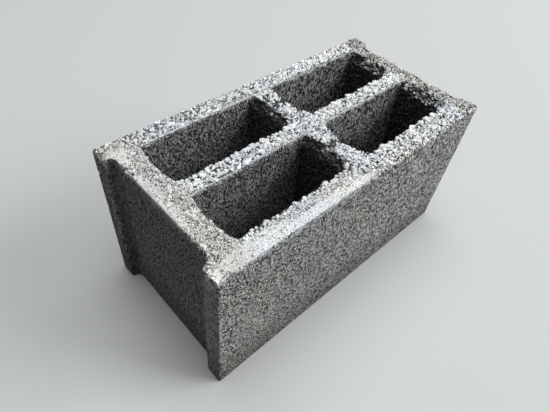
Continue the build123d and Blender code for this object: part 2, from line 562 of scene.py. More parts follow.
# %% Relief tree: rims
on_arris = put(relief, "ShaderNodeMath", {0: beyond[0], 1: beyond[1]}, operation="MINIMUM")[0]
on_arris = put(relief, "ShaderNodeMapRange", {"Value": on_arris, "From Max": 1.0})[0]
crisp = put(relief, "ShaderNodeMath", {0: to_right, 1: on_far_shell}, operation="MAXIMUM")[0]
crisp = put(relief, "ShaderNodeMath", {0: 1.0, 1: crisp}, operation="SUBTRACT")[0]
on_arris = put(relief, "ShaderNodeMath", {0: on_arris, 1: crisp}, operation="MULTIPLY")[0]
to_viewer = put(relief, "ShaderNodeMath", {0: leaning["Y"], 1: -1.0}, operation="MULTIPLY")[0]
on_rim = put(relief, "ShaderNodeMath", {0: leaning["Z"], 1: to_viewer}, operation="MULTIPLY")[0]
on_rim = put(relief, "ShaderNodeMapRange", {"Value": on_rim, "From Min": 0.08, "From Max": 0.5})[0]
on_rim = put(relief, "ShaderNodeMath", {0: on_rim, 1: inside}, operation="MULTIPLY")[0]
wiped = put(relief, "ShaderNodeMath", {0: on_rim, 1: given["Rim rounding"]}, operation="MULTIPLY")[0]
print("relief nodes, with the rims:", len(relief.nodes))

# %% [markdown]
# ## Relief: ridges in the groove
#
# A sine of the height makes the level ridges, inside an egg that follows the far corner
# of the left groove. The same egg darkens the corner later, as it does the cell ends,
# because little light reaches either.

# %% Relief tree: ridges
CORNER_SHADE = 0.7

ridges = put(relief, "ShaderNodeMath", {0: axes["Z"], 1: 2 * math.pi / RIDGE_PITCH},
             operation="MULTIPLY")[0]
ridges = put(relief, "ShaderNodeMath", {0: ridges}, operation="SINE")[0]
ridges = put(relief, "ShaderNodeMath", {0: ridges, 1: 0.5, 2: 0.5}, operation="MULTIPLY_ADD")[0]
ridged = strongest_mark([RIDGED_CORNER], edge=1.0, core=0.7)
for share in (ridged, given["Ridge height"]):
    ridges = put(relief, "ShaderNodeMath", {0: ridges, 1: share}, operation="MULTIPLY")[0]
# Painted shade: the ridged corner and the cell ends are darkened in the material.
shaded = put(relief, "ShaderNodeMath", {0: ridged, 1: CORNER_SHADE}, operation="MULTIPLY")[0]
shaded = put(relief, "ShaderNodeMath", {0: shaded, 1: cell_end}, operation="MAXIMUM")[0]
print("ridges, mm apart:", RIDGE_PITCH)

# %% [markdown]
# ## Relief: carve
#
# The depths of all the marks add up at each point. Under the tamped face the skin is
# lowered a little, because the grains that show there are added as pieces of their own
# in a later step. Paste carries few grains, so it stays nearly at its height.

# %% Relief tree: depth and movement
PASTE_SUNK = 0.2

sunk = put(relief, "ShaderNodeMapRange", {"Value": bare, "To Min": PASTE_SUNK})[0]
crust_depth = put(relief, "ShaderNodeMix",
                  {"Factor": coarse, "A": given["Crust depth"], "B": given["Coarse crust depth"]})["Result"]
sunk = put(relief, "ShaderNodeMath", {0: sunk, 1: crust_depth}, operation="MULTIPLY")[0]
crust = put(relief, "ShaderNodeMath", {0: swell, 1: given["Crust swell"], 2: sunk},
            operation="MULTIPLY_ADD")[0]
upward = put(relief, "ShaderNodeMapRange", {"Value": leaning["Z"], "From Min": 0.1, "From Max": 0.5})[0]
crust = put(relief, "ShaderNodeMath", {0: crust, 1: upward}, operation="MULTIPLY")[0]
void_depth = put(relief, "ShaderNodeMath", {0: void, 1: given["Void depth"]}, operation="MULTIPLY")[0]
drag_depth = put(relief, "ShaderNodeMath", {0: drag, 1: given["Drag depth"]}, operation="MULTIPLY")[0]
depth = put(relief, "ShaderNodeMath", {0: rounding, 1: chips}, operation="ADD")[0]
for more in (crust, wiped, void_depth, drag_depth, ridges):
    depth = put(relief, "ShaderNodeMath", {0: depth, 1: more}, operation="ADD")[0]
inward = put(relief, "ShaderNodeMath", {0: depth, 1: -MM}, operation="MULTIPLY")[0]
shift = put(relief, "ShaderNodeVectorMath", {0: outward, "Scale": inward}, operation="SCALE")[0]
print("relief nodes, with the depths:", len(relief.nodes))

# %% [markdown]
# ## Relief: where loose grains lie
#
# Grains show on the tamped face, along the beaded rims and the slumped arris, and in the
# broken places. They are kept off the paste, the voids, the crisp arris and the wiped
# rims.

# %% Relief tree: places for grains
SHARP_BLUR = 2

sharp = put(relief, "GeometryNodeBlurAttribute", {"Value": normal, "Iterations": SHARP_BLUR},
            data_type="FLOAT_VECTOR")[0]
sharp = put(relief, "ShaderNodeSeparateXYZ", {0: sharp})["Z"]
flat = put(relief, "ShaderNodeMapRange", {"Value": sharp, "From Min": 0.5, "From Max": 0.75})[0]
broken = put(relief, "ShaderNodeMapRange", {"Value": chips, "From Min": 0.4, "From Max": 2.0})[0]
tilted = put(relief, "ShaderNodeMapRange", {"Value": leaning["Z"], "From Min": 0.25, "From Max": 0.4})[0]
hanging = put(relief, "ShaderNodeMath", {0: beaded, 1: slumped}, operation="MAXIMUM")[0]
hanging = put(relief, "ShaderNodeMath", {0: hanging, 1: tilted}, operation="MULTIPLY")[0]
grit = put(relief, "ShaderNodeMath", {0: flat, 1: hanging}, operation="MAXIMUM")[0]
for held_back in (on_rim, paste, void, on_arris):
    left_open = put(relief, "ShaderNodeMath", {0: 1.0, 1: held_back}, operation="SUBTRACT")[0]
    grit = put(relief, "ShaderNodeMath", {0: grit, 1: left_open}, operation="MULTIPLY")[0]
grit = put(relief, "ShaderNodeMath", {0: grit, 1: broken}, operation="MAXIMUM")[0]
print("relief nodes, with the grains' places:", len(relief.nodes))

# %% [markdown]
# ## Relief: broken places, and the pale top with its painted light
#
# A break inside a cell shows the brownish inside of the mix, which the material paints a
# little darker as shade. One on the outside, high up, shows coarse pale rubble. The pale
# colour of the top, partly its own bleached crust and partly painted light from the sky,
# follows how far a surface faces up, so it reaches a little way over its rims.

# %% Relief tree: broken places and the pale top
RUBBLE_BEADS = 2.0

brown = put(relief, "ShaderNodeMath", {0: broken, 1: inside}, operation="MULTIPLY")[0]
high_up = put(relief, "ShaderNodeMapRange",
              {"Value": axes["Z"], "From Min": HEIGHT - 24.0, "From Max": HEIGHT - 16.0})[0]
rubble = put(relief, "ShaderNodeMath", {0: broken, 1: brown}, operation="SUBTRACT")[0]
rubble = put(relief, "ShaderNodeMath", {0: rubble, 1: high_up}, operation="MULTIPLY")[0]
# Painted light: surfaces that face up take the top's paler colour.
pale = put(relief, "ShaderNodeMapRange", {"Value": sharp, "From Min": 0.4, "From Max": 0.65})[0]
for also in (top, rubble):
    pale = put(relief, "ShaderNodeMath", {0: pale, 1: also}, operation="MAXIMUM")[0]
coarse = put(relief, "ShaderNodeMath", {0: coarse, 1: rubble}, operation="MAXIMUM")[0]
beads = put(relief, "ShaderNodeMath", {0: rubble, 1: RUBBLE_BEADS}, operation="MULTIPLY")[0]
beads = put(relief, "ShaderNodeMath", {0: beaded, 1: beads}, operation="MAXIMUM")[0]
print("relief nodes, with the broken places:", len(relief.nodes))

# %% [markdown]
# ## Relief: number the surfaces
#
# The skin is too fine to stay one piece, so it is taken apart later into ten surfaces.
# Each face gets the number of its surface now, while the walls are still flat.

# %% Relief tree: surface numbers
SURFACES = ["tamped_top", "bed_face", "near_side", "far_side", "left_end", "right_end",
            "near_left_cell", "near_right_cell", "far_left_cell", "far_right_cell"]
FIRST = {name: SURFACES.index(name) for name in ("near_side", "left_end", "near_left_cell")}
UPRIGHT = 0.7

is_up = put(relief, "ShaderNodeMath", {0: facing["Z"], 1: UPRIGHT}, operation="GREATER_THAN")[0]
is_down = put(relief, "ShaderNodeMath", {0: facing["Z"], 1: -UPRIGHT}, operation="LESS_THAN")[0]
is_side = put(relief, "ShaderNodeMath", {0: from_middle["Y"], 1: HALF_WIDTH - 1.0},
              operation="GREATER_THAN")[0]
is_right = put(relief, "ShaderNodeMath", {0: axes["X"], 1: 0.0}, operation="GREATER_THAN")[0]
is_far = put(relief, "ShaderNodeMath", {0: axes["Y"], 1: 0.0}, operation="GREATER_THAN")[0]
side = put(relief, "ShaderNodeMath", {0: is_far, 1: FIRST["near_side"]}, operation="ADD")[0]
end = put(relief, "ShaderNodeMath", {0: is_right, 1: FIRST["left_end"]}, operation="ADD")[0]
hole = put(relief, "ShaderNodeMath", {0: is_far, 1: 2.0, 2: is_right}, operation="MULTIPLY_ADD")[0]
hole = put(relief, "ShaderNodeMath", {0: hole, 1: FIRST["near_left_cell"]}, operation="ADD")[0]
number = end
for test, answer in ((is_side, side), (inside, hole), (is_up, SURFACES.index("tamped_top")),
                     (is_down, SURFACES.index("bed_face"))):
    number = put(relief, "ShaderNodeMix", {"Factor": test, "A": number, "B": answer})["Result"]
print("surfaces:", len(SURFACES))

# %% [markdown]
# ## Relief: store, move and run
#
# What the material and the grains read later is stored before the points move. The moved
# points are held inside the block's own bounds, so the finished block is never larger
# than its solid. The tree ends by giving the skin its one material, concrete, whose
# nodes follow in the next steps.

# %% Relief tree: output
concrete = bpy.data.materials.new("open-textured concrete")
stored = given["Geometry"]
kept_values = {"top": pale, "cell": cell, "paste": paste, "broken": brown, "grit": grit,
               "arris": on_arris, "coarse": coarse, "shade": shaded, "beads": beads}
for name, value in kept_values.items():
    stored = put(relief, "GeometryNodeStoreNamedAttribute",
                 {"Geometry": stored, "Name": name, "Value": value}, data_type="FLOAT")[0]
stored = put(relief, "GeometryNodeStoreNamedAttribute",
             {"Geometry": stored, "Name": "place", "Value": place}, data_type="FLOAT_VECTOR")[0]
stored = put(relief, "GeometryNodeStoreNamedAttribute",
             {"Geometry": stored, "Name": "surface", "Value": number}, data_type="INT", domain="FACE")[0]
moved = put(relief, "ShaderNodeVectorMath", {0: metres, 1: shift}, operation="ADD")[0]
moved = put(relief, "ShaderNodeVectorMath", {0: moved, 1: tuple(solid_low)}, operation="MAXIMUM")[0]
moved = put(relief, "ShaderNodeVectorMath", {0: moved, 1: tuple(solid_high)}, operation="MINIMUM")[0]
carved = put(relief, "GeometryNodeSetPosition", {"Geometry": stored, "Position": moved})[0]
carved = put(relief, "GeometryNodeRealizeInstances", {"Geometry": carved})[0]
carved = put(relief, "GeometryNodeSetMaterial", {"Geometry": carved, "Material": concrete})[0]
put(relief, "NodeGroupOutput", {0: carved})

carver = skin.modifiers.new("relief", "NODES")
carver.node_group = relief
print("relief nodes:", len(relief.nodes))
print("carved faces:", settle(skin))

# %% [markdown]
# ## Concrete
#
# This is open-textured concrete, pressed nearly dry and stripped from its mould at once.
# To the eye it is wholly matt: pale grey grains of sand and grit, with dark voids between
# them that let no light out. The tamped face is paler, partly bleached by sun and dust and
# partly painted light from the open sky. One material serves the whole block, as one mix
# did. It reads what the skin stored, so that its pattern lies still on every surface.

# %% Concrete material: what the skin stored
concrete.use_nodes = True
paint = concrete.node_tree
paint.nodes.clear()
spot = put(paint, "ShaderNodeAttribute", attribute_name="place")["Vector"]
along = put(paint, "ShaderNodeSeparateXYZ", {0: spot})
read = {}
for name in ("top", "cell", "paste", "broken", "arris", "coarse", "shade", "lot", "tip"):
    read[name] = put(paint, "ShaderNodeAttribute", attribute_name=name)["Fac"]
closed = put(paint, "ShaderNodeMath", {0: read["paste"], 1: read["arris"]}, operation="MAXIMUM")[0]
print("values read:", ", ".join(read))

# %% [markdown]
# ## Concrete: sand
#
# The walls show grains of sand that are too small for the mesh, so a second packing
# makes them, as colour and bump. Its cells are 1.4 mm wide, a coarse sand, because finer
# ones would not show in the picture, and 2.3 mm high, because the block was pressed from
# above while it shook. They grow toward the right, where the mix was coarser.

# %% Concrete material: sand
SAND_WIDTH = 1.4
SAND_HEIGHT = 2.3
COARSER_TO_RIGHT = 0.72
SHAKE = 1.3
SHAKE_PER_MM = 0.9
FINE_PER_MM = 1.1

jitter = put(paint, "ShaderNodeTexNoise", {"Vector": spot, "Scale": SHAKE_PER_MM, "Detail": 2.0})["Color"]
jitter = put(paint, "ShaderNodeVectorMath", {0: jitter, 1: (0.5, 0.5, 0.5)}, operation="SUBTRACT")[0]
shaken = put(paint, "ShaderNodeVectorMath", {0: jitter, 1: (SHAKE,) * 3, 2: spot},
             operation="MULTIPLY_ADD")[0]
shaken = put(paint, "ShaderNodeVectorMath", {0: shaken, 1: (SAND_WIDTH, SAND_WIDTH, SAND_HEIGHT)},
             operation="DIVIDE")[0]
sand_scale = put(paint, "ShaderNodeMapRange", {"Value": along["X"], "From Min": -80.0, "From Max": 80.0,
                                               "To Min": 1.0, "To Max": COARSER_TO_RIGHT})[0]
sand = put(paint, "ShaderNodeTexVoronoi", {"Vector": shaken, "Scale": sand_scale},
           voronoi_dimensions="3D")
sand_lot = put(paint, "ShaderNodeSeparateColor", {0: sand["Color"]})[0]
fine = put(paint, "ShaderNodeTexNoise",
           {"Vector": spot, "Scale": FINE_PER_MM, "Detail": 3.0, "Roughness": 0.7})["Fac"]
print("sand grains, mm:", SAND_WIDTH, "by", SAND_HEIGHT)

# %% [markdown]
# ## Concrete: pits, gaps and cracks
#
# Some grains of sand are missing and left a pit, more of them in the cells, and some
# patches have more pits than others. The patches halve the share on average, so it
# starts out doubled. Between the grains lie broken gaps. Paste and the crisp arris close
# the gaps and most of the pits. On the top, the same gaps show only as fine cracks.

# %% Concrete material: pits, gaps and cracks
PIT_SHARE = 0.18
# More pits in the cells are partly painted shade, which darkens the cells further.
CELL_PITS = 1.6
PATCHES_PER_MM = 0.07
GAP_START = 0.82
GAP_FULL = 0.90

share = put(paint, "ShaderNodeMapRange",
            {"Value": closed, "To Min": PIT_SHARE * 2, "To Max": PIT_SHARE / 2})[0]
patchy = put(paint, "ShaderNodeTexNoise", {"Vector": spot, "Scale": PATCHES_PER_MM, "Detail": 2.0})["Fac"]
patchy = put(paint, "ShaderNodeMapRange", {"Value": patchy, "From Min": 0.3, "From Max": 0.7,
                                           "To Min": 0.4, "To Max": 0.6})[0]
in_cell = put(paint, "ShaderNodeMapRange", {"Value": read["cell"], "To Min": 1.0, "To Max": CELL_PITS})[0]
for more in (patchy, in_cell):
    share = put(paint, "ShaderNodeMath", {0: share, 1: more}, operation="MULTIPLY")[0]
pit = put(paint, "ShaderNodeMath", {0: sand_lot, 1: share}, operation="LESS_THAN")[0]
apart = put(paint, "ShaderNodeMath", {0: fine, 1: 0.5, 2: sand["Distance"]}, operation="MULTIPLY_ADD")[0]
gaps = put(paint, "ShaderNodeMapRange", {"Value": apart, "From Min": GAP_START, "From Max": GAP_FULL},
           interpolation_type="SMOOTHSTEP")[0]
gaps = put(paint, "ShaderNodeMath", {0: gaps, 1: closed}, operation="SUBTRACT", use_clamp=True)[0]
pit = put(paint, "ShaderNodeMath", {0: pit, 1: gaps}, operation="MAXIMUM")[0]
crack = put(paint, "ShaderNodeMapRange",
            {"Value": apart, "From Min": GAP_START, "From Max": 1.0, "To Max": 0.75},
            interpolation_type="SMOOTHSTEP")[0]
print("concrete nodes, with the pits:", len(paint.nodes))

# %% [markdown]
# ## Concrete: voids
#
# The relief carved the voids between the grains of grit. The same packing is read here
# again, so that the widest of them are painted dark all through, as the shade deep in a
# void. Fine noise breaks up their edges, and paste and the crisp arris hold them back.

# %% Concrete material: voids
# Painted shade: the widest voids are coloured dark.
DARK_START = VOID_START + 0.22
DARK_FULL = VOID_START + 0.28

wide = put(paint, "ShaderNodeTexVoronoi", {"Vector": spot, "Scale": 1 / RELIEF_SIZES["Grain"]},
           voronoi_dimensions="3D")["Distance"]
wide = put(paint, "ShaderNodeMath", {0: fine, 1: 0.3, 2: wide}, operation="MULTIPLY_ADD")[0]
wide = put(paint, "ShaderNodeMath", {0: closed, 1: -0.3, 2: wide}, operation="MULTIPLY_ADD")[0]
void = put(paint, "ShaderNodeMapRange", {"Value": wide, "From Min": DARK_START, "From Max": DARK_FULL},
           interpolation_type="SMOOTHSTEP")[0]
dark = put(paint, "ShaderNodeMath", {0: pit, 1: void}, operation="MAXIMUM")[0]
print("grit grain, mm:", RELIEF_SIZES["Grain"])

# %% [markdown]
# ## Concrete: ranges of grey
#
# Every grain takes its own shade between two greys. There are five such ranges: sand on
# the moulded sides, sand in the cells, painted darker as the shade in them, the crust of
# the top, and the loose grains of the top, fine and coarse. The three ranges of the top
# are paler than the sides, partly their own bleached colour and partly painted light
# from the open sky. Sand draws its shade from its own cell in the packing, and a loose
# grain from its lot number.

# %% Concrete material: ranges of grey
# The cell range is painted shade; the top ranges are partly painted light from the sky.
GREYS = {
    "side": ("#5E5F5D", "#F0F1EE"),
    "cell": ("#202020", "#ACADAB"),
    "top": ("#B2B4B4", "#E9EBEB"),
    "grain": ("#BCBEBF", "#F6F8F9"),
    "coarse grain": ("#D2D5D6", "#FAFCFD"),
}
greys = {}
for name, (dim, bright) in GREYS.items():
    lot = read["lot"] if "grain" in name else sand_lot
    greys[name] = put(paint, "ShaderNodeMix", {"Factor": lot, "A": colour(dim), "B": colour(bright)},
                      data_type="RGBA")["Result"]
print("ranges of grey:", ", ".join(greys))

# %% [markdown]
# ## Concrete: walls
#
# Pits and voids are painted dark on the sides and nearly black in the cells, partly dirt
# in them and partly painted shade, where no light comes back out. The shaded corners and
# cell ends get a warm grey painted shade, and paste on a wall is tinted faintly blue,
# painted light: the cool sky light in the shade of the left end.

# %% Concrete material: walls
# Painted shade in pits and voids, darkest in the cells.
VOID_GREY = colour("#323231")
CELL_VOID = colour("#0A0A0A")
# Painted shade for the ridged corner and the cell ends.
END_SHADE = colour("#908D88")
# Painted light: the cool tint of sky light on paste in the shade.
PASTE_SKY_TINT = colour("#EFF2F9")

wall_void = put(paint, "ShaderNodeMix", {"Factor": read["cell"], "A": VOID_GREY, "B": CELL_VOID},
                data_type="RGBA")["Result"]
wall_grey = put(paint, "ShaderNodeMix", {"Factor": read["cell"], "A": greys["side"], "B": greys["cell"]},
                data_type="RGBA")["Result"]
for strength, coat, how in ((dark, wall_void, "MIX"), (read["shade"], END_SHADE, "MULTIPLY"),
                            (read["paste"], PASTE_SKY_TINT, "MULTIPLY")):
    wall_grey = put(paint, "ShaderNodeMix", {"Factor": strength, "A": wall_grey, "B": coat},
                    data_type="RGBA", blend_type=how)["Result"]
print("concrete nodes, with the walls:", len(paint.nodes))

# %% [markdown]
# ## Concrete: the crust of the top
#
# Under the loose grains lies a crust. Where paste smeared it, it is plainer and its
# cracks are fainter. Coarse grit leaves deep crevices, and the crevices carry painted
# shade, darker between the coarse grains than between the fine.

# %% Concrete material: crust of the top
PASTE_GREY = colour("#A8AAAA")
# Painted shade in the crevices between grains, darker for coarse grit.
CREVICE_GREY = colour("#6A6A68")
COARSE_CREVICE = colour("#303132")
SMEAR = 0.5
CRACKS_FILLED = 0.35

smeared = put(paint, "ShaderNodeMath", {0: read["paste"], 1: SMEAR}, operation="MULTIPLY")[0]
top_crack = put(paint, "ShaderNodeMath", {0: read["paste"], 1: -CRACKS_FILLED, 2: 1.0},
                operation="MULTIPLY_ADD")[0]
top_crack = put(paint, "ShaderNodeMath", {0: crack, 1: top_crack}, operation="MULTIPLY")[0]
crevice = put(paint, "ShaderNodeMix", {"Factor": read["coarse"], "A": CREVICE_GREY, "B": COARSE_CREVICE},
              data_type="RGBA")["Result"]
unpasted = put(paint, "ShaderNodeMath", {0: 1.0, 1: read["paste"]}, operation="SUBTRACT")[0]
opened = put(paint, "ShaderNodeMapRange", {"Value": read["coarse"], "From Min": 0.3, "From Max": 0.9})[0]
opened = put(paint, "ShaderNodeMath", {0: opened, 1: unpasted}, operation="MULTIPLY")[0]
opened = put(paint, "ShaderNodeMath", {0: opened, 1: pit}, operation="MAXIMUM")[0]
crust_grey = greys["top"]
for strength, coat in ((smeared, PASTE_GREY), (top_crack, CREVICE_GREY), (void, CREVICE_GREY),
                       (opened, crevice)):
    crust_grey = put(paint, "ShaderNodeMix", {"Factor": strength, "A": crust_grey, "B": coat},
                     data_type="RGBA")["Result"]
print("concrete nodes, with the crust:", len(paint.nodes))

# %% [markdown]
# ## Concrete: loose grains
#
# A loose grain is pale at its tip and as dark as the crevice at its foot, where its
# neighbours shade it. Fine grains carry the same small cracks as the crust, and coarse
# ones fewer.

# %% Concrete material: loose grains
COARSE_UNCRACKED = 0.7

grain_grey = put(paint, "ShaderNodeMix",
                 {"Factor": read["coarse"], "A": greys["grain"], "B": greys["coarse grain"]},
                 data_type="RGBA")["Result"]
speck = put(paint, "ShaderNodeMath", {0: read["coarse"], 1: -COARSE_UNCRACKED, 2: 1.0},
            operation="MULTIPLY_ADD")[0]
speck = put(paint, "ShaderNodeMath", {0: crack, 1: speck}, operation="MULTIPLY")[0]
# Painted shade: each loose grain darkens from its tip to its foot.
tip = put(paint, "ShaderNodeMapRange", {"Value": read["tip"], "From Min": -0.1, "From Max": 0.2},
          interpolation_type="SMOOTHSTEP")[0]
grain_grey = put(paint, "ShaderNodeMix", {"Factor": speck, "A": grain_grey, "B": crevice},
                 data_type="RGBA")["Result"]
grain_grey = put(paint, "ShaderNodeMix", {"Factor": tip, "A": crevice, "B": grain_grey},
                 data_type="RGBA")["Result"]
is_grain = put(paint, "ShaderNodeMath", {0: read["lot"], 1: 0.001}, operation="GREATER_THAN")[0]
base = put(paint, "ShaderNodeMix", {"Factor": read["top"], "A": wall_grey, "B": crust_grey},
           data_type="RGBA")["Result"]
base = put(paint, "ShaderNodeMix", {"Factor": is_grain, "A": base, "B": grain_grey},
           data_type="RGBA")["Result"]
print("concrete nodes, with the grains:", len(paint.nodes))

# %% [markdown]
# ## Concrete: weather and painted shade
#
# Broken places show the brownish inside of the mix, painted a little darker as the shade
# in the cells. A faint drift between warm and cold keeps the large faces from looking
# painted, dust lies on the tops of both end walls, and the lowest hand's breadth is
# painted darker, as the shade near the floor.

# %% Concrete material: weather and painted shade
# The brown is the mix's own colour, painted a little darker as the shade in the cells.
BROKEN_BROWN = colour("#7F7466")
WARM = colour("#FFFEFA")
COLD = colour("#F8FBFF")
DRIFT_PER_MM = 0.018
DUST = [(colour("#D2CDC6"), 165.0, 176.0), (colour("#F4F2ED"), -150.0, -162.0)]
# Painted shade near the floor: the lowest hand's breadth is darkened.
FLOOR_SHADE_GREY = colour("#C4C3C1")
FLOOR_SHADE_UP_TO = 75.0
FLOOR_SHADE_FULL = 5.0
BREAK_STRENGTH = 0.45

brown = put(paint, "ShaderNodeMath", {0: read["broken"], 1: BREAK_STRENGTH}, operation="MULTIPLY")[0]
drift = put(paint, "ShaderNodeTexNoise", {"Vector": spot, "Scale": DRIFT_PER_MM, "Detail": 2.0})["Fac"]
drift = put(paint, "ShaderNodeMapRange", {"Value": drift, "From Min": 0.35, "From Max": 0.65})[0]
drift = put(paint, "ShaderNodeMix", {"Factor": drift, "A": WARM, "B": COLD}, data_type="RGBA")["Result"]
floor_shade = put(paint, "ShaderNodeMapRange",
           {"Value": along["Z"], "From Min": FLOOR_SHADE_UP_TO, "From Max": FLOOR_SHADE_FULL},
           interpolation_type="SMOOTHSTEP")[0]
coats = [(brown, BROKEN_BROWN, "MIX"), (1.0, drift, "MULTIPLY")]
for dust, start, full in DUST:
    dusty = put(paint, "ShaderNodeMapRange", {"Value": along["X"], "From Min": start, "From Max": full})[0]
    dusty = put(paint, "ShaderNodeMath", {0: dusty, 1: read["top"]}, operation="MULTIPLY")[0]
    coats.append((dusty, dust, "MULTIPLY"))
coats.append((floor_shade, FLOOR_SHADE_GREY, "MULTIPLY"))
for strength, coat, how in coats:
    base = put(paint, "ShaderNodeMix", {"Factor": strength, "A": base, "B": coat},
               data_type="RGBA", blend_type=how)["Result"]
print("coats of weather:", len(coats))

# %% [markdown]
# ## Concrete: bump and shine
#
# Each grain of sand is a low dome and each pit a dent, both finer than the mesh can be,
# so they are bump. It is about as deep as a grain is wide, and paste flattens it. The
# surface is rough all over and has next to no shine. Its minerals bend light about as
# glass does, so the shader's own index of refraction stays.

# %% Concrete material: bump and shine
BUMP_DEPTH = 1.4
DOME_RISE = 1.4
PIT_SINK = 1.2
PASTE_BUMP = 0.6
ROUGHNESS = 0.92

dome = put(paint, "ShaderNodeMath", {0: sand["Distance"], 1: 2.0}, operation="POWER")[0]
height = put(paint, "ShaderNodeMath", {0: dome, 1: -DOME_RISE, 2: fine}, operation="MULTIPLY_ADD")[0]
height = put(paint, "ShaderNodeMath", {0: dark, 1: -PIT_SINK, 2: height}, operation="MULTIPLY_ADD")[0]
roughed = put(paint, "ShaderNodeMapRange", {"Value": read["paste"], "To Min": 1.0, "To Max": PASTE_BUMP})[0]
bump = put(paint, "ShaderNodeBump",
           {"Height": height, "Distance": BUMP_DEPTH * MM, "Strength": roughed})[0]
surface = put(paint, "ShaderNodeBsdfPrincipled",
              {"Base Color": base, "Roughness": ROUGHNESS, "Normal": bump})[0]
put(paint, "ShaderNodeOutputMaterial", {"Surface": surface})
print("bump, mm:", BUMP_DEPTH, "concrete nodes in all:", len(paint.nodes))

# %% [markdown]
# ## Grains of the tamped face
#
# On the real top every grain sits loose enough to cast its own shadow. Here they are
# real pieces. Points are scattered over the carved skin wherever the relief left the
# texture open, thinly for the coarse grit and closely for the fine. Geometry Nodes suit
# this because the grains follow the surface, also over the broken rims.

# %% Grain tree: inputs
GRIT_SIZES = {
    "Fine spacing": 1.6,
    "Fine smallest": 1.3,
    "Fine largest": 3.2,
    "Fine sink": 0.3,
    "Coarse spacing": 2.6,
    "Coarse smallest": 3.0,
    "Coarse largest": 6.6,
    "Coarse sink": 0.3,
    "Ceiling": 0.5,
    "Unevenness": 1.8,
}
GRIT_SEED = 7

grit_tree = bpy.data.node_groups.new("grains", "GeometryNodeTree")
grit_tree.interface.new_socket("Geometry", in_out="OUTPUT", socket_type="NodeSocketGeometry")
grit_tree.interface.new_socket("Geometry", in_out="INPUT", socket_type="NodeSocketGeometry")
for name, millimetres in GRIT_SIZES.items():
    socket = grit_tree.interface.new_socket(name, in_out="INPUT", socket_type="NodeSocketFloat")
    socket.default_value = millimetres * MM
grit_tree.interface.new_socket("Half", in_out="INPUT", socket_type="NodeSocketFloat")
asked = put(grit_tree, "NodeGroupInput")
here = put(grit_tree, "GeometryNodeInputPosition")[0]
print("grain inputs, mm:", GRIT_SIZES)

# %% [markdown]
# ## Grains: one lump, many grains
#
# The lump has 20 flat faces, which read as the broken faces of crushed stone and keep
# many thousands of grains light. Few grains are large, so a grain's size follows the
# square of a random number. Each grain also gets its own turn, its own stretch and a lot
# number, from which the material takes its shade.

# %% Grain tree: the lump and what the skin stored
lump = put(grit_tree, "GeometryNodeMeshIcoSphere", {"Radius": 0.5, "Subdivisions": 1})[0]
across = put(grit_tree, "ShaderNodeSeparateXYZ", {0: here})["Y"]
this_half = put(grit_tree, "ShaderNodeMath", {0: across, 1: asked["Half"]}, operation="MULTIPLY")[0]
this_half = put(grit_tree, "FunctionNodeCompare", {"A": this_half, "B": 0.0},
                operation="GREATER_THAN")[0]
skin_has = {}
for name in ("grit", "coarse", "beads"):
    skin_has[name] = put(grit_tree, "GeometryNodeInputNamedAttribute", {"Name": name},
                         data_type="FLOAT")["Attribute"]
openness = put(grit_tree, "ShaderNodeMath", {0: skin_has["grit"], 1: 2.0}, operation="POWER")[0]
print("read from the skin:", ", ".join(skin_has))

# %% [markdown]
# ## Grains: scatter one kind
#
# The same steps serve both kinds of grit, so they are written once. Points are kept
# apart by the grain's spacing and sunk a little into the crust. Each carries the
# direction away from the skin, which tells the material later what is tip and what foot.
# Along the beaded rims the grains grow. Some fine grit lies among the coarse, and here
# and there a coarse grain among the fine.

# %% Grain tree: scatter
MOST_PER_SQUARE_METRE = 5.0e5
FULL_TURN = 6.28
BEAD_GROWTH = 0.4
LEAST_STRETCH = 0.7
MOST_STRETCH = 1.2
FINE_AMONG_COARSE = 0.4
COARSE_AMONG_FINE = 0.06


